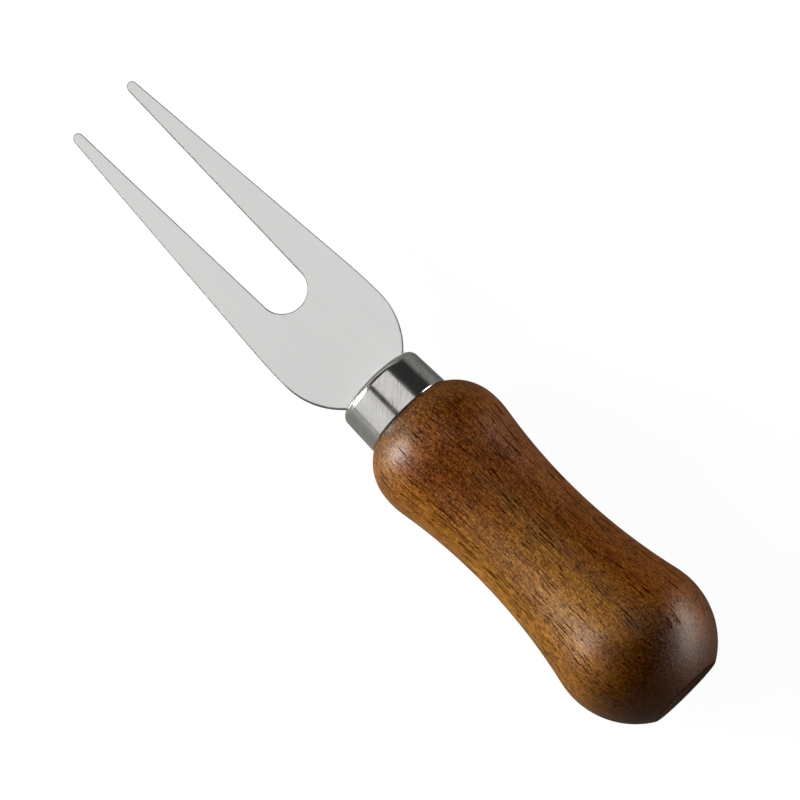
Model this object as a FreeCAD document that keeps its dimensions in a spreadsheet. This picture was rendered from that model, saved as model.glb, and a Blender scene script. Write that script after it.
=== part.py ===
"""Two-tine cheese fork: stamped steel blade, drawn steel ferrule, turned wooden handle, epoxy bond.

The fork lies along X with its blade level. The origin is the middle of the handle's flat butt
face, +X runs along the axis to the tine tips and +Z is up, square to the blade. All sizes are in
millimetres and come from the spreadsheet named Dims.

The parts go together as they do on the bench: the ferrule sits on a short tenon turned on the
front of the handle, the blade's tang passes through a slot in the ferrule's front wall into a
drilled bore, and epoxy fills the bore round the tang and the gap behind the ferrule's front wall.
"""
import FreeCAD, Part
import math
import os
import Sketcher
from FreeCAD import Vector

OUT = "parts"

# Driving dimensions: name, value, what it measures.
DIMENSIONS = [
    ("overall_length", 133.0, "butt face to tine tips"),
    ("handle_length", 61.4, "butt face to the shoulder that the ferrule stops on"),
    ("ball_position", 11.6, "butt face to the widest point of the rear swell"),
    ("ball_diameter", 26.1, "rear swell"),
    ("ball_arc", 13.5, "radius of the rear swell's profile"),
    ("waist_diameter", 20.7, "grip at its slimmest"),
    ("bead_position", 53.5, "butt face to the widest point of the front swell"),
    ("bead_diameter", 23.7, "front swell"),
    ("bead_arc", 14.0, "radius of the front swell's profile"),
    ("nose_arc", 8.6, "radius that rolls the front swell down to the shoulder"),
    ("shoulder_diameter", 15.9, "wood where it meets the ferrule"),
    ("butt_edge_round", 1.0, "round on the edge of the flat butt"),
    ("tenon_gap", 0.05, "between tenon and ferrule, and room for glue"),
    ("tenon_recess", 0.35, "tenon face back from the ferrule's front wall"),
    ("tenon_chamfer", 0.5, "lead-in on the tenon"),
    ("bore_diameter", 7.0, "drilled hole for the tang"),
    ("bore_depth", 33.5, "full-width depth from the tenon face"),
    ("drill_angle", 118.0, "point of the twist drill, degrees"),
    ("ferrule_length", 7.65, "open rim to front face"),
    ("ferrule_rear_diameter", 15.9, "outside, at the open rim"),
    ("ferrule_front_diameter", 15.36, "outside, at the front before rounding"),
    ("ferrule_wall", 0.6, "drawn sheet"),
    ("ferrule_corner_round", 1.4, "outer round of the front corner"),
    ("ferrule_rim_round", 0.35, "burnished round on the open rim"),
    ("slot_clearance", 0.1, "between tang and slot, all round"),
    ("blade_thickness", 1.5, "stainless sheet"),
    ("blade_width", 21.16, "blade at its widest"),
    ("widest_position", 10.0, "ferrule face to the widest point"),
    ("side_arc", 100.0, "radius that eases the widest point into the tines"),
    ("root_arc", 12.9, "radius of the blade's rounded root"),
    ("gap_radius", 4.0, "round bottom of the gap between the tines"),
    ("gap_position", 17.5, "ferrule face to the bottom of the gap"),
    ("tip_radius", 0.86, "round tine tip"),
    ("tip_spacing", 12.1, "between the middles of the two tips"),
    ("blade_edge_round", 0.2, "tumbled edge of the blade"),
    ("tang_width", 6.0, "tang at the ferrule"),
    ("tang_end_width", 4.6, "tang at its far end"),
    ("tang_length", 33.0, "ferrule face to the end of the tang"),
    ("key_radius", 0.7, "half-round notches that key the tang into the epoxy"),
    ("key_first", 9.0, "ferrule face to the first pair of notches"),
    ("key_pitch", 7.0, "from one pair of notches to the next"),
    ("key_pairs", 3.0, "number of pairs of notches"),
]

# Places and sizes that more than one part depends on.
FERRULE_FACE = "Dims.handle_length + Dims.ferrule_length"
TENON_FACE = FERRULE_FACE + " - Dims.ferrule_wall - Dims.tenon_recess"
INNER_REAR_RADIUS = "Dims.ferrule_rear_diameter / 2 - Dims.ferrule_wall"
INNER_FRONT_RADIUS = "Dims.ferrule_front_diameter / 2 - Dims.ferrule_wall"

# A sketch's own axes and the points of its pieces, as Sketcher numbers them.
X_AXIS, Y_AXIS = -1, -2
START, END, CENTRE = 1, 2, 3


def make_sheet(doc):
    """Writes the driving dimensions to the Dims spreadsheet and returns it."""
    sheet = doc.addObject("Spreadsheet::Sheet", "Dims")
    for row, (alias, value, note) in enumerate(DIMENSIONS, start=1):
        sheet.set(f"A{row}", alias)
        sheet.set(f"B{row}", str(value))
        sheet.setAlias(f"B{row}", alias)
        sheet.set(f"C{row}", note)
    doc.recompute()
    return sheet


# Bodies and features


def new_body(doc, label, position=None):
    """Makes a Body. position is an expression for where its own origin lies along the fork."""
    body = doc.addObject("PartDesign::Body", label)
    body.Label = label
    if position:
        body.setExpression("Placement.Base.x", position)
    return body


def origin_feature(body, role):
    return next(feature for feature in body.Origin.OriginFeatures if feature.Role == role)


def new_sketch(body, name, role, offset=None):
    """Makes a sketch on one of the body's origin planes; offset is an expression along X."""
    sketch = body.newObject("Sketcher::SketchObject", name)
    sketch.AttachmentSupport = (origin_feature(body, role), "")
    sketch.MapMode = "FlatFace"
    if offset:
        sketch.setExpression("AttachmentOffset.Base.z", offset)
    return sketch


def revolve(body, sketch, name):
    """Turns a sketch about the fork's axis."""
    feature = body.newObject("PartDesign::Revolution", name)
    feature.Profile = sketch
    feature.ReferenceAxis = (sketch, ["H_Axis"])
    feature.Angle = 360.0
    body.Document.recompute()
    return feature


def is_ring(edge, x, radius=None, tolerance=0.01):
    """True for a circle round the fork's axis at x, of that radius if one is given."""
    curve = edge.Curve
    if not isinstance(curve, Part.Circle) or abs(curve.Center.x - x) > tolerance:
        return False
    return radius is None or abs(curve.Radius - radius) < tolerance


def ease_edges(body, base, name, test, expression, kind="PartDesign::Fillet"):
    """Rounds, or with kind Chamfer bevels, the edges of base that pass the test."""
    chosen = [f"Edge{number}" for number, edge in enumerate(base.Shape.Edges, start=1) if test(edge)]
    feature = body.newObject(kind, name)
    feature.Base = (base, chosen)
    feature.setExpression("Radius" if kind.endswith("Fillet") else "Size", expression)
    body.Document.recompute()
    return feature


def must_shrink(feature, base):
    """Stops on a cut that points away from the solid, which takes nothing off and shows no error."""
    if feature.Shape.Volume > base.Shape.Volume - 1:
        raise RuntimeError(f"{feature.Name} removed nothing")


# Outlines


class Outline:
    """Draws in a sketch piece after piece, and ties sizes to expressions on the spreadsheet."""

    def __init__(self, sketch):
        self.sketch = sketch
        self.ends = []

    def line(self, start, end):
        index = self.sketch.addGeometry(Part.LineSegment(Vector(*start, 0), Vector(*end, 0)))
        self.ends.append((index, START, END))
        return index

    def arc(self, centre, start, end):
        """Adds the shorter arc from start to end round centre."""
        first = math.atan2(start[1] - centre[1], start[0] - centre[0])
        last = math.atan2(end[1] - centre[1], end[0] - centre[0])
        turn = (last - first + math.pi) % (2 * math.pi) - math.pi
        low, high = (first, first + turn) if turn > 0 else (first + turn, first)
        radius = math.hypot(start[0] - centre[0], start[1] - centre[1])
        circle = Part.Circle(Vector(*centre, 0), Vector(0, 0, 1), radius)
        index = self.sketch.addGeometry(Part.ArcOfCircle(circle, low, high))
        self.ends.append((index, START, END) if turn > 0 else (index, END, START))
        return index

    def circle(self, centre, radius):
        return self.sketch.addGeometry(Part.Circle(Vector(*centre, 0), Vector(0, 0, 1), radius))

    def close(self, smooth=()):
        """Joins each piece to the next, tangentially where smooth lists the pair."""
        for here, after in zip(self.ends, self.ends[1:] + self.ends[:1]):
            kind = "Tangent" if (here[0], after[0]) in smooth else "Coincident"
            self.tie(kind, here[0], here[2], after[0], after[1])

    def tie(self, kind, *items):
        self.sketch.addConstraint(Sketcher.Constraint(kind, *items))

    def measure(self, expression, kind, *items):
        """Adds a constraint whose size follows an expression."""
        value = float(self.sketch.evalExpression(expression))
        number = self.sketch.addConstraint(Sketcher.Constraint(kind, *items, value))
        self.sketch.setExpression(f"Constraints[{number}]", expression)

    def place(self, index, point, x=None, y=None):
        """Sets where a point lies, by an expression for each of its coordinates that is given."""
        if x:
            self.measure(x, "DistanceX", X_AXIS, START, index, point)
        if y:
            self.measure(y, "DistanceY", X_AXIS, START, index, point)

    def square(self, flat=(), upright=()):
        """Keeps lines parallel to the sketch's axes."""
        for index in flat:
            self.tie("Horizontal", index)
        for index in upright:
            self.tie("Vertical", index)


def tangent_point(circle, other):
    """Where two touching circles (x, y, radius) meet, one outside or inside the other."""
    gap = math.hypot(other[0] - circle[0], other[1] - circle[1])
    outside = gap > max(circle[2], other[2])
    way = 1 if outside or circle[2] > other[2] else -1
    step = way * circle[2] / gap
    return circle[0] + step * (other[0] - circle[0]), circle[1] + step * (other[1] - circle[1])


def circles_meet(first, second):
    """The upper of the two points where circles (x, y, radius) cross."""
    dx, dy = second[0] - first[0], second[1] - first[1]
    gap = math.hypot(dx, dy)
    along = (gap ** 2 + first[2] ** 2 - second[2] ** 2) / (2 * gap)
    off = math.copysign(math.sqrt(first[2] ** 2 - along ** 2), dx)
    return first[0] + (along * dx - off * dy) / gap, first[1] + (along * dy + off * dx) / gap


def common_tangent(first, second, crossed):
    """The ends of a line that touches two circles (x, y, radius), on top of the first circle.

    A crossed line passes between the circles and touches the second one from below.
    """
    dx, dy = second[0] - first[0], second[1] - first[1]
    side = -1 if crossed else 1
    normal = math.atan2(dy, dx) + math.acos((first[2] - side * second[2]) / math.hypot(dx, dy))
    ux, uy = math.cos(normal), math.sin(normal)
    start = (first[0] + first[2] * ux, first[1] + first[2] * uy)
    end = (second[0] + side * second[2] * ux, second[1] + side * second[2] * uy)
    return start, end


# Handle


def draw_handle(sketch, dims):
    """Half of the handle's lengthwise section: swell, hollow grip, bead, rolled nose and tenon."""
    ball = (dims.ball_position, dims.ball_diameter / 2 - dims.ball_arc, dims.ball_arc)
    bead = (dims.bead_position, dims.bead_diameter / 2 - dims.bead_arc, dims.bead_arc)
    shoulder = (dims.handle_length, dims.shoulder_diameter / 2)
    nose_track = (bead[0], bead[1], bead[2] - dims.nose_arc)
    nose = (*circles_meet(nose_track, (*shoulder, dims.nose_arc)), dims.nose_arc)
    butt = (0, ball[1] + math.sqrt(ball[2] ** 2 - ball[0] ** 2))
    tenon_root = (shoulder[0], float(sketch.evalExpression(INNER_REAR_RADIUS)) - dims.tenon_gap)
    tenon_radius = float(sketch.evalExpression(INNER_FRONT_RADIUS)) - dims.tenon_gap
    tenon_end = (float(sketch.evalExpression(TENON_FACE)), tenon_radius)

    # A first estimate of the hollow, as a parabola. Its tangents and waist settle it exactly.
    grip = dims.waist_diameter / 2
    rear_rise = math.sqrt(dims.ball_diameter / 2 - grip)
    front_rise = math.sqrt(dims.bead_diameter / 2 - grip)
    hollow = ((bead[0] - ball[0]) / (rear_rise + front_rise)) ** 2 / 2
    waist = (ball[0] + rear_rise * math.sqrt(2 * hollow), grip + hollow, hollow)
    rear_joint = tangent_point(ball, waist)
    front_joint = tangent_point(bead, waist)
    nose_joint = tangent_point(bead, nose)

    draw = Outline(sketch)
    butt_line = draw.line((0, 0), butt)
    ball_arc = draw.arc(ball[:2], butt, rear_joint)
    waist_arc = draw.arc(waist[:2], rear_joint, front_joint)
    bead_arc = draw.arc(bead[:2], front_joint, nose_joint)
    nose_arc = draw.arc(nose[:2], nose_joint, shoulder)
    shoulder_line = draw.line(shoulder, tenon_root)
    tenon_line = draw.line(tenon_root, tenon_end)
    face_line = draw.line(tenon_end, (tenon_end[0], 0))
    axis_line = draw.line((tenon_end[0], 0), (0, 0))
    draw.close(smooth={(ball_arc, waist_arc), (waist_arc, bead_arc), (bead_arc, nose_arc)})

    draw.tie("Coincident", butt_line, START, X_AXIS, START)
    draw.square(flat=[axis_line], upright=[butt_line, shoulder_line, face_line])
    draw.place(ball_arc, CENTRE, "Dims.ball_position", "Dims.ball_diameter / 2 - Dims.ball_arc")
    draw.measure("Dims.ball_arc", "Radius", ball_arc)
    draw.place(bead_arc, CENTRE, "Dims.bead_position", "Dims.bead_diameter / 2 - Dims.bead_arc")
    draw.measure("Dims.bead_arc", "Radius", bead_arc)
    draw.measure("Dims.nose_arc", "Radius", nose_arc)
    draw.place(shoulder_line, START, "Dims.handle_length", "Dims.shoulder_diameter / 2")
    draw.place(tenon_line, START, y=INNER_REAR_RADIUS + " - Dims.tenon_gap")
    draw.place(tenon_line, END, TENON_FACE, INNER_FRONT_RADIUS + " - Dims.tenon_gap")

    depth = Part.LineSegment(Vector(*waist[:2], 0), Vector(waist[0], grip, 0))
    depth_line = sketch.addGeometry(depth, True)
    draw.tie("Coincident", depth_line, START, waist_arc, CENTRE)
    draw.tie("Vertical", depth_line)
    draw.tie("PointOnObject", depth_line, END, waist_arc)
    draw.place(depth_line, END, y="Dims.waist_diameter / 2")


def make_handle(doc, dims):
    """Turned wood, with a tenon for the ferrule and a drilled bore for the tang."""
    body = new_body(doc, "handle")
    section = new_sketch(body, "HandleSection", "XZ_Plane")
    draw_handle(section, dims)
    turned = revolve(body, section, "Turned")
    butt = ease_edges(body, turned, "ButtEdge", lambda edge: is_ring(edge, 0),
                      "Dims.butt_edge_round")
    tenon_x = float(section.evalExpression(TENON_FACE))
    tenon = ease_edges(body, butt, "TenonLeadIn", lambda edge: is_ring(edge, tenon_x),
                       "Dims.tenon_chamfer", kind="PartDesign::Chamfer")

    mark = new_sketch(body, "BoreMark", "YZ_Plane", TENON_FACE)
    draw = Outline(mark)
    ring = draw.circle((0, 0), dims.bore_diameter / 2)
    draw.tie("Coincident", ring, CENTRE, X_AXIS, START)
    draw.measure("Dims.bore_diameter", "Diameter", ring)
    doc.recompute()
    bore = body.newObject("PartDesign::Hole", "TangBore")
    bore.Profile = mark
    bore.DepthType = "Dimension"
    bore.DrillPoint = "Angled"
    bore.setExpression("Diameter", "Dims.bore_diameter")
    bore.setExpression("Depth", "Dims.bore_depth")
    bore.setExpression("DrillPointAngle", "Dims.drill_angle")
    doc.recompute()
    must_shrink(bore, tenon)
    return body


# Ferrule


def draw_ferrule(sketch, dims):
    """Half of the cup's lengthwise section, from its open rim to its front wall."""
    length, wall = dims.ferrule_length, dims.ferrule_wall
    rear, front = dims.ferrule_rear_diameter / 2, dims.ferrule_front_diameter / 2
    draw = Outline(sketch)
    outside = draw.line((0, rear), (length, front))
    face = draw.line((length, front), (length, 0))
    axis = draw.line((length, 0), (length - wall, 0))
    back = draw.line((length - wall, 0), (length - wall, front - wall))
    inside = draw.line((length - wall, front - wall), (0, rear - wall))
    rim = draw.line((0, rear - wall), (0, rear))
    draw.close()
    draw.square(flat=[axis], upright=[face, back, rim])
    draw.tie("PointOnObject", axis, START, X_AXIS)
    draw.tie("PointOnObject", rim, START, Y_AXIS)
    draw.place(outside, START, y="Dims.ferrule_rear_diameter / 2")
    draw.place(outside, END, "Dims.ferrule_length", "Dims.ferrule_front_diameter / 2")
    draw.place(inside, START, "Dims.ferrule_length - Dims.ferrule_wall", INNER_FRONT_RADIUS)
    draw.place(inside, END, y=INNER_REAR_RADIUS)


def draw_slot(sketch, dims):
    """The tang's section with clearance all round, centred on the axis."""
    half_width = dims.tang_width / 2 + dims.slot_clearance
    half_height = dims.blade_thickness / 2 + dims.slot_clearance
    corners = [(-half_width, -half_height), (half_width, -half_height),
               (half_width, half_height), (-half_width, half_height)]
    draw = Outline(sketch)
    sides = [draw.line(a, b) for a, b in zip(corners, corners[1:] + corners[:1])]
    draw.close()
    draw.square(flat=sides[0::2], upright=sides[1::2])
    draw.tie("Symmetric", sides[0], START, sides[2], START, X_AXIS, START)
    draw.place(sides[2], START, "Dims.tang_width / 2 + Dims.slot_clearance",
               "Dims.blade_thickness / 2 + Dims.slot_clearance")


def make_ferrule(doc, dims):
    """Drawn steel cup, open at the handle, with a slot for the tang in its front wall."""
    body = new_body(doc, "ferrule", "Dims.handle_length")
    section = new_sketch(body, "FerruleSection", "XZ_Plane")
    draw_ferrule(section, dims)
    cup = revolve(body, section, "Drawn")
    length, inner_length = dims.ferrule_length, dims.ferrule_length - dims.ferrule_wall
    outer = ease_edges(body, cup, "FrontCorner", lambda edge: is_ring(edge, length),
                       "Dims.ferrule_corner_round")
    inner = ease_edges(body, outer, "InnerCorner", lambda edge: is_ring(edge, inner_length),
                       "Dims.ferrule_corner_round - Dims.ferrule_wall")
    rim_radius = dims.ferrule_rear_diameter / 2
    rim = ease_edges(body, inner, "RimRound", lambda edge: is_ring(edge, 0, rim_radius),
                     "Dims.ferrule_rim_round")

    window = new_sketch(body, "SlotOutline", "YZ_Plane")
    draw_slot(window, dims)
    slot = body.newObject("PartDesign::Pocket", "TangSlot")
    slot.Profile = window
    slot.Type = "ThroughAll"
    slot.Reversed = True
    doc.recompute()
    must_shrink(slot, rim)
    return body


# Fork blade


def draw_blade(sketch, dims):
    """The blade on one side of the fork's axis: gap, tine, side, rounded root and tang."""
    gap = (dims.gap_position + dims.gap_radius, 0, dims.gap_radius)
    reach = dims.overall_length - dims.handle_length - dims.ferrule_length
    tip = (reach - dims.tip_radius, dims.tip_spacing / 2, dims.tip_radius)
    widest = (dims.widest_position, dims.blade_width / 2)
    side = (widest[0], widest[1] - dims.side_arc, dims.side_arc)
    root = (widest[0], widest[1] - dims.root_arc, dims.root_arc)
    root_end = (0, root[1] + math.sqrt(root[2] ** 2 - root[0] ** 2))
    gap_end, tip_start = common_tangent(gap, tip, crossed=True)
    side_start, tip_end = common_tangent(side, tip, crossed=False)
    tang_start = (0, dims.tang_width / 2)
    tang_end = (-dims.tang_length, dims.tang_end_width / 2)

    draw = Outline(sketch)
    gap_arc = draw.arc(gap[:2], (dims.gap_position, 0), gap_end)
    inner_line = draw.line(gap_end, tip_start)
    tip_arc = draw.arc(tip[:2], tip_start, tip_end)
    outer_line = draw.line(tip_end, side_start)
    side_arc = draw.arc(side[:2], side_start, widest)
    root_arc = draw.arc(root[:2], widest, root_end)
    root_line = draw.line(root_end, tang_start)
    tang_line = draw.line(tang_start, tang_end)
    end_line = draw.line(tang_end, (tang_end[0], 0))
    axis_line = draw.line((tang_end[0], 0), (dims.gap_position, 0))
    draw.close(smooth={(gap_arc, inner_line), (inner_line, tip_arc), (tip_arc, outer_line),
                       (outer_line, side_arc), (side_arc, root_arc)})

    draw.square(upright=[root_line, end_line])
    for index, point in ((gap_arc, CENTRE), (axis_line, START), (axis_line, END)):
        draw.tie("PointOnObject", index, point, X_AXIS)
    draw.tie("PointOnObject", root_line, START, Y_AXIS)
    draw.place(axis_line, END, "Dims.gap_position")
    draw.measure("Dims.gap_radius", "Radius", gap_arc)
    draw.place(tip_arc, CENTRE, f"Dims.overall_length - ({FERRULE_FACE}) - Dims.tip_radius",
               "Dims.tip_spacing / 2")
    draw.measure("Dims.tip_radius", "Radius", tip_arc)
    draw.place(side_arc, CENTRE, "Dims.widest_position", "Dims.blade_width / 2 - Dims.side_arc")
    draw.measure("Dims.side_arc", "Radius", side_arc)
    draw.place(root_arc, CENTRE, "Dims.widest_position")
    draw.measure("Dims.root_arc", "Radius", root_arc)
    draw.place(tang_line, START, y="Dims.tang_width / 2")
    draw.place(tang_line, END, "-Dims.tang_length", "Dims.tang_end_width / 2")


def draw_key_pair(sketch, dims):
    """One round notch on each edge of the tang."""
    draw = Outline(sketch)
    for side in (1, -1):
        centre = (-dims.key_first, side * dims.tang_width / 2)
        notch = draw.circle(centre, dims.key_radius)
        draw.place(notch, CENTRE, "-Dims.key_first", f"{side} * Dims.tang_width / 2")
        draw.measure("Dims.key_radius", "Radius", notch)


def make_blade(doc, dims):
    """Stamped two-tine blade with its tang, tumbled on the edges that stay in sight."""
    body = new_body(doc, "fork_blade", FERRULE_FACE)
    outline = new_sketch(body, "BladeHalf", "XY_Plane")
    draw_blade(outline, dims)
    half = body.newObject("PartDesign::Pad", "HalfBlank")
    half.Profile = outline
    half.SideType = "Symmetric"
    half.setExpression("Length", "Dims.blade_thickness")
    doc.recompute()
    blank = body.newObject("PartDesign::Mirrored", "Blank")
    blank.Originals = [half]
    blank.MirrorPlane = (origin_feature(body, "XZ_Plane"), [""])
    body.Tip = blank
    doc.recompute()

    pair = new_sketch(body, "KeyPairOutline", "XY_Plane")
    draw_key_pair(pair, dims)
    notches = body.newObject("PartDesign::Pocket", "KeyPair")
    notches.Profile = pair
    notches.Type = "ThroughAll"
    notches.SideType = "Symmetric"
    doc.recompute()
    must_shrink(notches, blank)
    keys = body.newObject("PartDesign::LinearPattern", "Keys")
    keys.Originals = [notches]
    keys.Direction = (origin_feature(body, "X_Axis"), [""])
    keys.Reversed = True
    keys.setExpression("Length", "Dims.key_pitch * (Dims.key_pairs - 1)")
    keys.setExpression("Occurrences", "Dims.key_pairs")
    body.Tip = keys
    doc.recompute()

    face = dims.blade_thickness / 2

    def in_sight(edge):
        middle = edge.valueAt((edge.FirstParameter + edge.LastParameter) / 2)
        return middle.x > dims.blade_edge_round and math.isclose(abs(middle.z), face)

    ease_edges(body, keys, "TumbledEdge", in_sight, "Dims.blade_edge_round")
    return body


# Epoxy


def make_epoxy(doc, blade):
    """Cured epoxy: fills the bore round the tang, and the gap behind the ferrule's front wall."""
    toward_butt = FreeCAD.Rotation(Vector(0, 1, 0), -90)
    toward_tines = FreeCAD.Rotation(Vector(0, 1, 0), 90)

    bore = doc.addObject("Part::Cylinder", "BoreFill")
    bore.Placement.Rotation = toward_butt
    bore.setExpression("Placement.Base.x", TENON_FACE)
    bore.setExpression("Radius", "Dims.bore_diameter / 2")
    bore.setExpression("Height", "Dims.bore_depth")

    point = doc.addObject("Part::Cone", "DrillPointFill")
    point.Placement.Rotation = toward_butt
    point.setExpression("Placement.Base.x", f"{TENON_FACE} - Dims.bore_depth")
    point.setExpression("Radius1", "Dims.bore_diameter / 2")
    point.Radius2 = 0
    point.setExpression("Height", "Dims.bore_diameter / 2 / tan(Dims.drill_angle * 1deg / 2)")

    squeeze = doc.addObject("Part::Cylinder", "SqueezeOut")
    squeeze.Placement.Rotation = toward_tines
    squeeze.setExpression("Placement.Base.x", TENON_FACE)
    squeeze.setExpression("Radius", "Dims.ferrule_front_diameter / 2 - Dims.ferrule_corner_round"
                                    " - Dims.tenon_gap")
    squeeze.setExpression("Height", "Dims.tenon_recess")

    fill = doc.addObject("Part::MultiFuse", "Fill")
    fill.Shapes = [bore, point, squeeze]
    epoxy = doc.addObject("Part::Cut", "tang_epoxy")
    epoxy.Base = fill
    epoxy.Tool = blade
    doc.recompute()
    return epoxy


def check(doc, pieces):
    """Stops if anything in the document failed, or a piece isn't one sound solid."""
    for item in doc.Objects:
        if "Invalid" in item.State or "Error" in item.State:
            raise RuntimeError(f"{item.Name} failed: {item.State}")
        if item.isDerivedFrom("Sketcher::SketchObject") and not item.FullyConstrained:
            raise RuntimeError(f"{item.Name} is not fully constrained")
    for piece in pieces:
        if piece.Shape.isNull() or not piece.Shape.isValid() or len(piece.Shape.Solids) != 1:
            raise RuntimeError(f"{piece.Label} is not one valid solid")


def main():
    doc = FreeCAD.newDocument("CheeseFork")
    dims = make_sheet(doc)
    handle = make_handle(doc, dims)
    ferrule = make_ferrule(doc, dims)
    blade = make_blade(doc, dims)
    epoxy = make_epoxy(doc, blade)
    pieces = [handle, ferrule, blade, epoxy]
    check(doc, pieces)
    os.makedirs(OUT, exist_ok=True)
    for piece in pieces:
        piece.Shape.exportStep(os.path.join(OUT, f"{piece.Label}.step"))


main()
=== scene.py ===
"""Two-tine cheese fork: turned wooden handle, polished ferrule and satin blade round the CAD frame.

Lengths are in metres in the frame's own axes: +X from the butt to the tine tips, +Z up, square
to the blade. Textures are solid (three-dimensional) and work in millimetres of the same axes.
"""
import math
import bpy
import numpy as np
from mathutils import Matrix, Vector


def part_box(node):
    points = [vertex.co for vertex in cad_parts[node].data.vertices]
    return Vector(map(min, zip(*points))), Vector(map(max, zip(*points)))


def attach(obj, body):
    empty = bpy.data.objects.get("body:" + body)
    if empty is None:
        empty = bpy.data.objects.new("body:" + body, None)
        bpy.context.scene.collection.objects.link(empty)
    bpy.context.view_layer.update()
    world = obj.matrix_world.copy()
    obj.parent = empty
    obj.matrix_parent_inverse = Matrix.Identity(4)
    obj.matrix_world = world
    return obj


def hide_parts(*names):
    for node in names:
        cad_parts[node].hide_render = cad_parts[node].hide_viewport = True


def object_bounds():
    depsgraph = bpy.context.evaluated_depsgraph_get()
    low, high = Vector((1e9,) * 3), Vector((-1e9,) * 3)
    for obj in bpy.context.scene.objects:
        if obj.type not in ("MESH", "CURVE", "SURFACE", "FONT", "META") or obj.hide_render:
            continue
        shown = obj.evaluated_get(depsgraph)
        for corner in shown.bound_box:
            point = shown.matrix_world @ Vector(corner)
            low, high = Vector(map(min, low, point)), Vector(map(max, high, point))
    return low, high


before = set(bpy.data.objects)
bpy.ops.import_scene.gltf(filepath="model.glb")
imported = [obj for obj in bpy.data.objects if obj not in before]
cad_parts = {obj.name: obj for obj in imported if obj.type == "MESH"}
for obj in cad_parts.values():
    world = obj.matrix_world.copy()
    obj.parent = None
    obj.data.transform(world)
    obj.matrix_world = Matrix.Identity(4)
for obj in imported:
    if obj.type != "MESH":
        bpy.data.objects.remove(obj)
cad_low, cad_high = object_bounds()

MM = 0.001


def grey(level):
    return (level, level, level)


# Node trees

# The Mix node has inputs and an output for each type of data, and these are the colour ones.
MIX_FIRST_COLOUR, MIX_SECOND_COLOUR, MIX_COLOUR_RESULT = 6, 7, 2

# Where nearly all of a noise texture's values lie
NOISE_SPAN = (0.3, 0.7)


class Nodes:
    """The node tree of a material or a world. Inputs take plain values and sockets alike."""

    def __init__(self, owner):
        owner.use_nodes = True
        self.tree = owner.node_tree
        self.tree.nodes.clear()

    def add(self, kind, inputs=(), **settings):
        """Adds a node, with its settings and then its inputs by name or number."""
        node = self.tree.nodes.new("ShaderNode" + kind)
        for name, value in settings.items():
            setattr(node, name, value)
        for key, value in dict(inputs).items():
            if isinstance(value, bpy.types.NodeSocket):
                self.tree.links.new(value, node.inputs[key])
            elif node.inputs[key].type == "RGBA":
                node.inputs[key].default_value = (*value, 1)
            else:
                node.inputs[key].default_value = value
        return node

    def math(self, operation, *values):
        return self.add("Math", enumerate(values), operation=operation).outputs[0]

    def total(self, first, *others):
        for value in others:
            first = self.math("ADD", first, value)
        return first

    def product(self, first, *others):
        for value in others:
            first = self.math("MULTIPLY", first, value)
        return first

    def largest(self, first, *others):
        for value in others:
            first = self.math("MAXIMUM", first, value)
        return first

    def centred(self, value, strength):
        """A value about 0.5 turned into one about 0, times strength."""
        return self.math("MULTIPLY_ADD", value, strength, -strength / 2)

    def remap(self, value, low, high, to_low=0.0, to_high=1.0, kind="SMOOTHSTEP"):
        """Moves low..high to to_low..to_high, and holds the ends outside that range."""
        inputs = {"Value": value, "From Min": low, "From Max": high,
                  "To Min": to_low, "To Max": to_high}
        return self.add("MapRange", inputs, interpolation_type=kind).outputs[0]

    def mix(self, factor, first, second):
        """Mixes two numbers."""
        return self.add("Mix", {"Factor": factor, "A": first, "B": second}).outputs["Result"]

    def blend(self, factor, first, second, kind="MIX"):
        """Mixes two colours."""
        inputs = {"Factor": factor, MIX_FIRST_COLOUR: first, MIX_SECOND_COLOUR: second}
        node = self.add("Mix", inputs, data_type="RGBA", blend_type=kind)
        return node.outputs[MIX_COLOUR_RESULT]

    def ramp(self, value, stops):
        """Colours along a ramp; stops is (position, colour) pairs in order."""
        node = self.add("ValToRGB", {"Fac": value})
        elements = node.color_ramp.elements
        while len(elements) < len(stops):
            elements.new(0.5)
        for element, (position, colour) in zip(elements, stops):
            element.position = position
            element.color = (*colour, 1)
        return node.outputs["Color"]

    def axes(self, vector):
        """The vector's X, Y and Z."""
        return tuple(self.add("SeparateXYZ", {0: vector}).outputs)

    def joined(self, x, y=0.0):
        return self.add("CombineXYZ", {0: x, 1: y}).outputs[0]

    def vector(self, operation, first, second):
        return self.add("VectorMath", {0: first, 1: second}, operation=operation).outputs[0]

    def mapped(self, vector, scale=(1, 1, 1), place=(0, 0, 0), angle=(0, 0, 0)):
        inputs = {"Vector": vector, "Scale": scale, "Location": place, "Rotation": angle}
        return self.add("Mapping", inputs).outputs[0]


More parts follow.
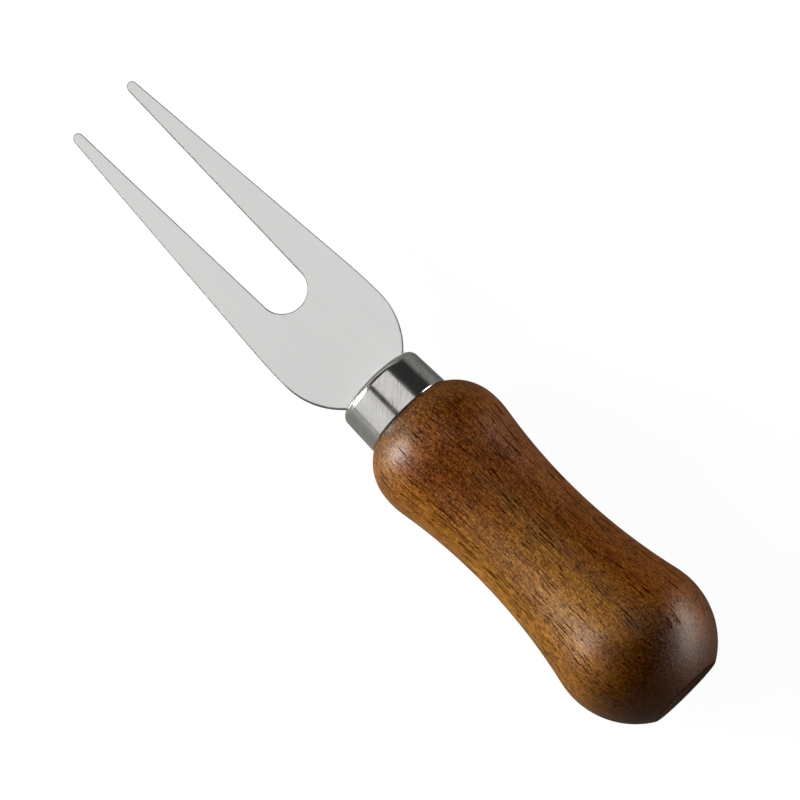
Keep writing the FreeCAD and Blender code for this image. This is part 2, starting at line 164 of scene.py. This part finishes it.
class Look(Nodes):
    """A solid material for one piece, measured in millimetres of the frame."""

    def __init__(self, name):
        self.material = bpy.data.materials.new(name)
        super().__init__(self.material)
        metres = self.add("TexCoord").outputs["Object"]
        self.point = self.mapped(metres, scale=(1 / MM, 1 / MM, 1 / MM))

    def normal_axes(self):
        return self.axes(self.add("NewGeometry").outputs["Normal"])

    def noise(self, scale, seed, detail=2.0, rough=0.5, vector=None):
        """Fractal noise about 0.5. scale is waves per millimetre along X, Y and Z."""
        place = self.mapped(vector or self.point, scale=scale, place=(seed, 2 * seed, -seed))
        inputs = {"Vector": place, "Scale": 1.0, "Detail": detail, "Roughness": rough}
        return self.add("TexNoise", inputs).outputs["Fac"]

    def noise_line(self, value, scale, seed, detail=2.0):
        """Noise of a single number, about 0.5."""
        place = self.math("MULTIPLY_ADD", value, scale, seed)
        inputs = {"W": place, "Scale": 1.0, "Detail": detail}
        return self.add("TexNoise", inputs, noise_dimensions="1D").outputs["Fac"]

    def shifted(self, vector, scale, seed, reach):
        """The vector moved about by coloured noise, up to about half of reach on each axis."""
        place = self.mapped(vector, scale=scale, place=(seed, seed / 2, -seed))
        cloud = self.add("TexNoise", {"Vector": place, "Scale": 1.0, "Detail": 3.0})
        offset = self.vector("SUBTRACT", cloud.outputs["Color"], (0.5, 0.5, 0.5))
        return self.vector("ADD", vector, self.vector("MULTIPLY", offset, reach))

    def dashes(self, vector, scale, crowd, size):
        """Long thin dashes along X, on the XY plane: 1 inside a dash, 0 outside.

        scale is cells per millimetre, crowd the share of cells that hold a dash, and size the
        half-width of the thickest dash as a share of its cell.
        """
        inputs = {"Vector": self.mapped(vector, scale=scale), "Scale": 1.0}
        cell = self.add("TexVoronoi", inputs, voronoi_dimensions="2D")
        chance = self.add("SeparateColor", {0: cell.outputs["Color"]}).outputs[0]
        spare = self.math("SUBTRACT", crowd, chance)
        full_from, thinnest = 0.15, 0.001
        radius = self.remap(spare, 0.0, full_from, thinnest, size)
        core = self.product(radius, 0.5)
        return self.remap(cell.outputs["Distance"], core, radius, 1.0, 0.0)

    def bump(self, height, depth):
        """A surface relief: height of 0 to 1 stands for depth metres."""
        return self.add("Bump", {"Height": height, "Distance": depth, "Strength": 1.0}).outputs[0]

    def surface(self, **inputs):
        """Ends the tree with a Principled BSDF and returns the material."""
        named = {name.replace("_", " "): value for name, value in inputs.items()}
        shader = self.add("BsdfPrincipled", named)
        self.add("OutputMaterial", {"Surface": shader.outputs[0]})
        return self.material


# Materials


class HandleWood(Look):
    """Oiled brown hardwood: growth bands round a pith off to one side, and dark open pores.

    Positions are in millimetres: along runs from the butt, side and up from the axis, and ring
    from the pith.
    """

    # Colours are linear RGB; the tones run from dark to light.
    TONES = ((0.00, (0.022, 0.0050, 0.0010)), (0.25, (0.077, 0.0185, 0.0025)),
             (0.50, (0.184, 0.0480, 0.0055)), (0.75, (0.320, 0.0960, 0.0100)),
             (1.00, (0.460, 0.1650, 0.0190)))
    GOLDEN_TINT = (1.03, 1.37, 1.25)
    PORE = (0.014, 0.0045, 0.0012)
    # Painted shade for the rear of the swell and the butt's face, and painted light for the butt's
    # rim
    SOAKED_DARK, SOAKED_LIGHT = (0.008, 0.0028, 0.0013), (0.046, 0.0165, 0.0080)
    BUTT_RIM, BUTT_FACE = (0.048, 0.0190, 0.0100), (0.016, 0.0064, 0.0034)

    # From the pith to the axis in mm, and the pith's lean in radians
    PITH_OFFSET = (0, 34, 12)
    PITH_LEAN = (0, 0.03, -0.04)

    # The radius in mm at which angles round the axis become lengths
    SKIN_RADIUS = 11.0

    BASE_TONE = 0.47
    PORE_COVER = 0.93
    PORE_ROUGHNESS = 0.25
    RELIEF_DEPTH = 0.03 * MM
    GLOSS = 0.30
    OIL_IOR = 1.45

    def __init__(self):
        super().__init__("handle_wood_look")
        self.grain = self.shifted(self.point, scale=(0.02, 0.07, 0.07), seed=3.1,
                                  reach=(0, 2.4, 2.4))
        self.along, self.side, self.up = self.axes(self.grain)
        across = self.mapped(self.grain, scale=(0, 1, 1), place=self.PITH_OFFSET,
                             angle=self.PITH_LEAN)
        self.ring = self.add("VectorMath", {0: across}, operation="LENGTH").outputs["Value"]
        self.fibre = self.grain_noise((0.45, 3.0, 3.0), seed=1.7, detail=1, rough=0.8)
        self.speck = self.grain_noise((2.5, 3.6, 3.6), seed=6.2, detail=1, rough=0.8)
        self.fine = self.total(self.centred(self.fibre, 0.85), self.centred(self.speck, 1.2))
        facing = self.normal_axes()[0]
        self.off_butt = self.remap(facing, -0.95, -0.80)    # 0 on the butt's face, 1 elsewhere
        self.steep = self.math("ABSOLUTE", facing)          # 1 where the surface faces along X

    def grain_noise(self, scale, **settings):
        return self.noise(scale, vector=self.grain, **settings)

    def growth(self):
        """The tone: bands that follow the distance from the pith, and slower changes."""
        streak_off = self.math("ABSOLUTE", self.math("SUBTRACT", self.side, 3.5))
        streak = self.product(self.remap(self.along, 36, 50),
                              self.remap(streak_off, 0.8, 4.2, -0.11, 0.0))
        pale_side = self.product(self.remap(self.along, 46, 56),
                                 self.remap(self.side, -6.0, -2.5, 0.10, 0.0))
        figure = self.grain_noise((0.055, 0.20, 0.20), seed=8.3, detail=4, rough=0.6)
        tone = self.total(
            self.BASE_TONE,
            self.remap(self.ring, 27, 47, -0.05, 0.13),       # lighter towards the bark
            self.remap(self.side, -8.8, -4.6, 0.13, 0.0),     # pale flanks
            # Painted light: lighter on the lit +Y flank
            self.remap(self.side, 6.5, 9.5, 0.0, 0.05),
            self.remap(self.along, 28, 54, 0.01, -0.06),      # darker towards the nose
            self.remap(self.along, 53, 60, 0.0, -0.09),
            self.remap(self.along, 60.0, 61.2, 0.0, -0.20),   # darkest: painted shade where it meets the ferrule
            streak,
            pale_side,
            self.centred(self.noise_line(self.ring, scale=0.45, seed=4.7, detail=5), 0.25),
            self.centred(figure, 0.50),
            self.fine)
        return self.ramp(tone, self.TONES)

    def gilded(self, colour):
        """Warms the outer rings of the rear half and the nose, in patches, and the lit +Y flank as
        painted light.
        """
        rear_half = self.product(self.remap(self.along, 30, 52, 1.0, 0.0),
                                 self.remap(self.along, 8, 20, 0.4, 1.0))
        golden = self.largest(self.product(self.remap(self.ring, 34, 43), rear_half),
                              # Painted light: the lit +Y flank is warmed
                              self.remap(self.side, 6.0, 9.5, 0.0, 0.7),
                              self.remap(self.along, 54.5, 60.0, 0.0, 0.9))
        patch = self.centred(self.grain_noise((0.14, 0.50, 0.50), seed=11.3, detail=3), 1.8)
        tinted = self.blend(1.0, colour, self.GOLDEN_TINT, "MULTIPLY")
        return self.blend(self.total(golden, patch), colour, tinted)

    def pores(self):
        """Thin cells along the grain, in three lengths, crowded in some rows and areas.

        They are laid round the axis, so that the turned surface shows them whole.
        """
        arc = self.product(self.math("ARCTAN2", self.side, self.up), self.SKIN_RADIUS)
        skin = self.joined(self.along, arc)
        area = self.grain_noise((0.035, 0.15, 0.15), seed=5.5, detail=3)
        row = self.noise((0.04, 1.1, 1.1), seed=3.9, detail=2, vector=skin)
        crowd = self.product(self.remap(area, 0.32, 0.66, 0.10, 0.60),
                             self.remap(row, 0.40, 0.60, 0.40, 1.20),
                             self.remap(self.steep, 0.10, 0.50, 1.0, 0.06))
        lane = self.shifted(skin, scale=(0.22, 0.6, 0.6), seed=9.1, reach=(0, 0.6, 0))
        long_pore = self.dashes(lane, (0.07, 3.0, 1.0), self.product(crowd, 0.8), 0.30)
        pore = self.dashes(lane, (0.16, 3.3, 1.0), crowd, 0.32)
        short_pore = self.dashes(lane, (0.50, 3.8, 1.0), crowd, 0.34)
        every = self.largest(long_pore, pore, self.product(short_pore, 0.8))
        return self.product(every, self.off_butt)

    def soaked_share(self):
        """Painted shade on the rear of the swell, which cuts across the fibres and turns from the
        lights.
        """
        lean = self.total(self.remap(self.side, -8.0, -3.5, 5.5, 0.0),
                          self.remap(self.side, 2.0, 9.0, 0.0, 2.5))
        cloud = self.centred(self.noise((0.25, 0.25, 0.25), seed=2.2, detail=3), 6.0)
        return self.remap(self.total(self.along, lean, cloud), 5.0, 20.2, 0.88, 0.0)

    def soaked_colour(self):
        """The painted shade: mottled on the swell, with painted light at the butt's rim, and plain
        on its face.
        """
        swell = self.blend(self.total(0.5, self.fine), self.SOAKED_DARK, self.SOAKED_LIGHT)
        # Painted light: lighter at the butt's rim, as if lit from the right
        rounded = self.blend(self.remap(self.along, 2.0, 6.5), self.BUTT_RIM, swell)
        return self.blend(self.off_butt, self.BUTT_FACE, rounded)

    def make(self):
        """Lays the pores and the painted rear shade over the growth, and returns the material."""
        pore, soaked = self.pores(), self.soaked_share()
        cover = self.product(pore, self.PORE_COVER)
        colour = self.blend(cover, self.gilded(self.growth()), self.PORE)
        # Painted shade over the rear of the swell and the butt
        colour = self.blend(soaked, colour, self.soaked_colour())
        rough = self.total(self.remap(self.speck, *NOISE_SPAN, 0.32, 0.43),
                           self.remap(self.steep, 0.2, 0.7, 0.0, 0.10),
                           self.product(pore, self.PORE_ROUGHNESS))
        relief = self.total(self.product(self.fibre, 0.8), self.product(pore, -1.0),
                            self.product(soaked, self.off_butt, self.speck))
        gloss = self.product(self.math("SUBTRACT", 1.0, pore),
                             self.remap(self.off_butt, 0.0, 1.0, 0.15, 1.0),
                             self.remap(self.speck, *NOISE_SPAN, 0.70, 1.30), self.GLOSS)
        return self.surface(Base_Color=colour, Roughness=rough, IOR=self.OIL_IOR,
                            Normal=self.bump(relief, self.RELIEF_DEPTH), Specular_IOR_Level=gloss)


def blade_steel():
    """Satin sheet brushed lengthwise; its sheared edges are rougher and mottled, and painted dark
    as shade.
    """
    s = Look("blade_steel_look")
    dull, bright = grey(0.865), grey(0.925)
    edge_dark, edge_light = grey(0.14), grey(0.22)
    brush_depth = 0.0005 * MM
    brush = s.noise((0.03, 7.0, 2.0), seed=2.3, detail=5, rough=0.7)
    sheen = s.noise((0.02, 0.35, 0.2), seed=7.9, detail=3)
    shade = s.total(s.product(brush, 0.6), s.product(sheen, 0.4))
    face = s.blend(s.remap(shade, *NOISE_SPAN), dull, bright)
    # Painted shade: the edges' steel is made dark, so they show little reflected light
    sheared = s.blend(s.noise((0.8, 0.8, 1.5), seed=5.1, detail=3), edge_dark, edge_light)
    flatness = s.math("ABSOLUTE", s.normal_axes()[2])
    edge = s.remap(flatness, 0.93, 0.995, 1.0, 0.0)
    rough = s.total(s.remap(brush, *NOISE_SPAN, 0.28, 0.34), s.product(edge, 0.45))
    return s.surface(Base_Color=s.blend(edge, face, sheared), Metallic=1.0, Roughness=rough,
                     Anisotropic=0.5, Tangent=s.joined(1.0), Normal=s.bump(brush, brush_depth))


def ferrule_steel():
    """Polished cup with faint wipe marks that wind round it at about 50 degrees."""
    s = Look("ferrule_steel_look")
    clean, wiped = (0.73, 0.715, 0.70), (0.50, 0.49, 0.48)
    radius, winding, mark_depth = 8.0, math.radians(50), 0.0035 * MM
    x, y, z = s.axes(s.point)
    skin = s.joined(x, s.product(s.math("ARCTAN2", y, z), radius))
    wound = s.mapped(skin, angle=(0, 0, winding))
    hair = s.noise((0.30, 5.0, 1.0), seed=4.4, detail=5, rough=0.75, vector=wound)
    smear = s.noise((0.45, 0.45, 0.45), seed=2.9, detail=4, rough=0.6)
    marks = s.product(s.remap(hair, 0.40, 0.70), s.remap(smear, 0.35, 0.60, 0.45, 1.0))
    rough = s.total(s.remap(smear, *NOISE_SPAN, 0.12, 0.16), s.product(marks, 0.06))
    return s.surface(Base_Color=s.blend(marks, clean, wiped), Metallic=1.0, Roughness=rough,
                     Normal=s.bump(hair, mark_depth))


def cured_epoxy():
    """Amber adhesive with fine trapped bubbles."""
    s = Look("epoxy_look")
    deep, thin, milky = (0.46, 0.32, 0.12), (0.60, 0.46, 0.20), (0.75, 0.68, 0.48)
    bubbles_per_mm, bubble_depth = 2.5, 0.02 * MM
    cloud = s.noise((0.5, 0.5, 0.5), seed=3.3, detail=3)
    cells = s.add("TexVoronoi", {"Vector": s.point, "Scale": bubbles_per_mm})
    bubble = s.remap(cells.outputs["Distance"], 0.05, 0.18, 1.0, 0.0)
    colour = s.blend(s.product(bubble, 0.5), s.blend(cloud, deep, thin), milky)
    return s.surface(Base_Color=colour, Roughness=s.remap(cloud, *NOISE_SPAN, 0.25, 0.4),
                     Normal=s.bump(bubble, bubble_depth))


# The handle: a smooth lathe mesh that follows the section of the CAD node

LATHE_SEGMENTS = 240
SHARP_EDGE = math.radians(30)

# The profile breaks at turns above PROFILE_CORNER. Its rings lie at most RING_STEP apart, and
# turn by at most RING_BEND.
PROFILE_CORNER = math.radians(31)
RING_STEP = 0.3 * MM
RING_BEND = math.radians(6)

# A vertex within ON_PLANE of a plane lies on it, and places are compared to PLACE_DIGITS decimals
ON_PLANE = 1e-7
PLACE_DIGITS = 8


def seam_points(node):
    """The CAD node's section in its XZ half plane, as an ordered chain of (x, radius) points."""
    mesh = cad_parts[node].data
    names = {v.index: (round(v.co.x, PLACE_DIGITS), round(v.co.z, PLACE_DIGITS))
             for v in mesh.vertices if abs(v.co.y) < ON_PLANE and v.co.z > ON_PLANE}
    neighbours = {}
    for edge in mesh.edges:
        a, b = (names.get(index) for index in edge.vertices)
        if a and b and a != b:
            neighbours.setdefault(a, set()).add(b)
            neighbours.setdefault(b, set()).add(a)
    chain = [min(point for point, others in neighbours.items() if len(others) == 1)]
    while True:
        ahead = neighbours[chain[-1]] - set(chain[-2:-1])
        if not ahead:
            return [np.array(point) for point in chain]
        chain.append(ahead.pop())


def unit(vector):
    return vector / np.linalg.norm(vector)


def turn(before, here, after):
    """The angle, in radians, by which a polyline turns at a point."""
    a, b = here - before, after - here
    return abs(math.atan2(a[0] * b[1] - a[1] * b[0], a @ b))


def circle_tangent(before, here, after):
    """Unit tangent at here of the circle through three points."""
    a, b = here - before, after - here
    return unit(unit(a) * np.linalg.norm(b) + unit(b) * np.linalg.norm(a))


def outer_tangent(end, inner, beyond):
    """Unit tangent at the end of a chain, from the circle through its first three points."""
    chord = unit(inner - end)
    tangent = circle_tangent(end, inner, beyond)
    return 2 * (tangent @ chord) * chord - tangent


def span_tangents(span):
    """Unit tangents at each point of a smooth span."""
    if len(span) == 2:
        return [unit(span[1] - span[0])] * 2
    inner = [circle_tangent(*span[i - 1:i + 2]) for i in range(1, len(span) - 1)]
    return [outer_tangent(*span[:3]), *inner, -outer_tangent(*span[:-4:-1])]


def hermite(start, end, tangent_out, tangent_in):
    """Points after start, up to end, on a cubic with those unit tangents at its ends."""
    length = np.linalg.norm(end - start)
    bend = math.acos(min(1.0, tangent_out @ tangent_in))
    reach = length / math.cos(bend / 4) ** 2
    count = max(1, math.ceil(length / RING_STEP), math.ceil(bend / RING_BEND))
    made = []
    for k in range(1, count + 1):
        t = k / count
        made.append((2 * t ** 3 - 3 * t ** 2 + 1) * start
                    + (t ** 3 - 2 * t ** 2 + t) * reach * tangent_out
                    + (3 * t ** 2 - 2 * t ** 3) * end
                    + (t ** 3 - t ** 2) * reach * tangent_in)
    return made


def smooth_chain(points):
    """Resamples a chain on a smooth curve through its points, keeping its corners."""
    inside = range(1, len(points) - 1)
    corners = [i for i in inside if turn(*points[i - 1:i + 2]) > PROFILE_CORNER]
    corners = [0, *corners, len(points) - 1]
    out = [points[0]]
    for first, last in zip(corners, corners[1:]):
        span = points[first:last + 1]
        tangents = span_tangents(span)
        for i in range(len(span) - 1):
            out += hermite(span[i], span[i + 1], tangents[i], tangents[i + 1])
    return out


def make_handle():
    """The handle as one closed lathe mesh, with its tenon and drilled bore."""
    profile = smooth_chain(seam_points("handle"))
    angles = np.arange(LATHE_SEGMENTS) * 2 * math.pi / LATHE_SEGMENTS
    vertices = [(x, r * math.sin(a), r * math.cos(a)) for x, r in profile for a in angles]
    steps = [(k, (k + 1) % LATHE_SEGMENTS) for k in range(LATHE_SEGMENTS)]
    starts = range(0, len(vertices), LATHE_SEGMENTS)
    faces = [(row + k, row + after, row_after + after, row_after + k)
             for row, row_after in zip(starts, starts[1:]) for k, after in steps]
    butt_centre, drill_tip = len(vertices), len(vertices) + 1
    vertices += [(profile[0][0], 0, 0), (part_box("tang_epoxy")[0].x, 0, 0)]
    for k, after in steps:
        faces.append((butt_centre, after, k))
        faces.append((starts[-1] + k, starts[-1] + after, drill_tip))
    mesh = bpy.data.meshes.new("turned_handle")
    mesh.from_pydata(vertices, [], faces)
    mesh.validate()
    mesh.shade_smooth()
    mesh.set_sharp_from_angle(angle=SHARP_EDGE)
    piece = bpy.data.objects.new("turned_handle", mesh)
    bpy.context.scene.collection.objects.link(piece)
    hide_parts("handle")
    return piece


handle = make_handle()
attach(handle, "root")
handle.data.materials.append(HandleWood().make())
looks = {"ferrule": ferrule_steel, "fork_blade": blade_steel, "tang_epoxy": cured_epoxy}
for node, look in looks.items():
    for material_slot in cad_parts[node].material_slots:
        material_slot.material = look()


# Stage, light and camera

OVERALL = cad_high.x - cad_low.x
MIDDLE = Vector((OVERALL / 2, 0, 0))
WHITE = 1.0

# The camera stands above the fork, leans back towards its butt, and looks through a long lens.
VIEW_TILT = math.radians(10.7)
VIEW_ROLL = math.radians(3.0)
VIEW_TURN = math.radians(135.08)
VIEW_DISTANCE = 0.570
VIEW_TARGET = Vector((OVERALL * 0.4849, -0.77 * MM, 0))
VIEW_LENS_MM = 162
VIEW_SENSOR_MM = 36
VIEW_CLIP_START = 0.01
VIEW_BLACK_LEVEL = 0.0045

# The floor's glow and paint as the camera sees it, and its paint as reflections see it
FLOOR_REACH = 1.5
FLOOR_GLOW = 0.95
FLOOR_PAINT = 0.10
FLOOR_MIRRORED = 0.36

# The world's levels in reflections, from the butt's side (0) to the tines' side (1), and the
# range of a direction's Z over which its pale ends fade into the room
ROOM = 0.035
WORLD_STOPS = ((0.10, grey(0.22)), (0.33, grey(ROOM)), (0.67, grey(ROOM)), (0.90, grey(0.55)))
END_FADE = (0.24, 0.38)


def floor_material():
    """Near white to the camera, mid grey in reflections, and clear from below."""
    material = bpy.data.materials.new("floor_look")
    s = Nodes(material)
    glow = s.add("Emission", {"Color": grey(FLOOR_GLOW)}).outputs[0]
    paint = s.add("BsdfDiffuse", {"Color": grey(FLOOR_PAINT)}).outputs[0]
    seen = s.add("AddShader", {0: glow, 1: paint}).outputs[0]
    mirrored = s.add("BsdfDiffuse", {"Color": grey(FLOOR_MIRRORED)}).outputs[0]
    to_camera = s.add("LightPath").outputs["Is Camera Ray"]
    above = s.add("MixShader", {0: to_camera, 1: mirrored, 2: seen}).outputs[0]
    from_below = s.add("NewGeometry").outputs["Backfacing"]
    clear = s.add("BsdfTransparent").outputs[0]
    either = s.add("MixShader", {0: from_below, 1: above, 2: clear}).outputs[0]
    s.add("OutputMaterial", {"Surface": either})
    return material


def widest_of(x_from, x_to):
    """(x, radius) of the handle's widest ring between two places along it."""
    rings = [v.co for v in handle.data.vertices if x_from <= v.co.x <= x_to]
    widest = max(rings, key=lambda co: co.y ** 2 + co.z ** 2)
    return widest.x, math.hypot(widest.y, widest.z)


def make_floor():
    """A pale sheet that the handle rests on with both of its swells."""
    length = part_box("handle")[1].x
    rear_x, rear_radius = widest_of(0, length / 2)
    front_x, front_radius = widest_of(length / 2, length)
    slope = (rear_radius - front_radius) / (front_x - rear_x)
    drop = rear_radius * math.hypot(1, slope)
    corners = [(x * FLOOR_REACH, y * FLOOR_REACH, (x * FLOOR_REACH - rear_x) * slope - drop)
               for x, y in ((-1, -1), (1, -1), (1, 1), (-1, 1))]
    mesh = bpy.data.meshes.new("floor")
    mesh.from_pydata(corners, [], [(0, 1, 2, 3)])
    mesh.materials.append(floor_material())
    floor = bpy.data.objects.new("floor", mesh)
    bpy.context.scene.collection.objects.link(floor)
    floor.visible_shadow = False


def make_world():
    """White to the camera and nearly dark as a light; reflections show low pale ends."""
    world = bpy.data.worlds.new("world")
    bpy.context.scene.world = world
    s = Nodes(world)
    path = s.add("LightPath").outputs
    lengthwise, _, height = s.axes(s.add("TexCoord").outputs["Generated"])
    ends = s.ramp(s.remap(lengthwise, -1.0, 1.0, kind="LINEAR"), WORLD_STOPS)
    lowness = s.remap(height, *END_FADE, 1.0, 0.0, kind="LINEAR")
    room = s.mix(s.product(lowness, path["Is Glossy Ray"]), ROOM, ends)
    seen = s.mix(path["Is Camera Ray"], room, WHITE)
    background = s.add("Background", {"Color": seen}).outputs[0]
    s.add("OutputWorld", {"Surface": background})


def facing_frame(direction):
    """Three unit vectors: towards a direction, along X but square to that, and across both."""
    toward = Vector(direction).normalized()
    along = (Vector((1, 0, 0)) - toward * toward.x).normalized()
    return toward, along, toward.cross(along)


def softbox(name, direction, distance, length, width, radiance, tint=(1, 1, 1), glint=False):
    """A rectangular light that faces the fork: length runs along the fork, width across.

    At a radiance of 1 it would look as bright as a white page that shows 1 in the picture.
    A glint is seen in reflections only, and lights no surface.
    """
    data = bpy.data.lights.new(name, "AREA")
    data.shape = "RECTANGLE"
    data.size, data.size_y = length, width
    data.energy = radiance * math.pi * length * width
    data.color = tint
    toward, along, across = facing_frame(direction)
    turned = Matrix((along, across, toward)).transposed().to_4x4()
    light = bpy.data.objects.new(name, data)
    light.matrix_world = Matrix.Translation(MIDDLE + toward * distance) @ turned
    light.visible_camera = False
    light.visible_diffuse = not glint
    bpy.context.scene.collection.objects.link(light)


def make_lights():
    """Soft boxes overhead and at both sides; left is the +Y side."""
    softbox("overhead", (0.28, -0.205, 0.938), distance=0.75, length=0.58, width=0.67,
            radiance=0.80, tint=(1.0, 0.99, 0.985))
    softbox("left_panel", (0.20, 0.812, 0.548), distance=0.50, length=0.26, width=0.58,
            radiance=0.70)
    softbox("left_key", (0.63, 0.69, 0.355), distance=0.48, length=0.21, width=0.30,
            radiance=16, tint=(1.0, 1.0, 0.92))
    softbox("left_glint", (0.655, 0.69, 0.165), distance=0.47, length=0.23, width=0.46,
            radiance=11, tint=(1.0, 1.04, 0.92), glint=True)
    softbox("right_key", (-0.65, -0.76, 0.055), distance=0.50, length=0.48, width=0.28,
            radiance=4.0)
    softbox("right_glint", (-0.63, -0.78, 0.055), distance=0.49, length=0.46, width=0.28,
            radiance=9.0, tint=(1.0, 0.88, 0.77), glint=True)


def make_camera():
    """A long lens where the photo's camera stood."""
    upright = math.cos(VIEW_TILT)
    back, along, across = facing_frame((-math.sin(VIEW_TILT), upright * math.sin(VIEW_ROLL),
                                        upright * math.cos(VIEW_ROLL)))
    right = math.cos(VIEW_TURN) * along - math.sin(VIEW_TURN) * across
    up = math.sin(VIEW_TURN) * along + math.cos(VIEW_TURN) * across
    data = bpy.data.cameras.new("camera")
    data.lens = VIEW_LENS_MM
    data.sensor_width = VIEW_SENSOR_MM
    data.clip_start = VIEW_CLIP_START
    camera = bpy.data.objects.new("camera", data)
    turned = Matrix((right, up, back)).transposed().to_4x4()
    camera.matrix_world = Matrix.Translation(VIEW_TARGET + back * VIEW_DISTANCE) @ turned
    bpy.context.scene.collection.objects.link(camera)
    bpy.context.scene.camera = camera


make_floor()
make_world()
make_lights()
make_camera()
view = bpy.context.scene.view_settings
view.view_transform = "Standard"
view.use_curve_mapping = True
view.curve_mapping.black_level = grey(VIEW_BLACK_LEVEL)
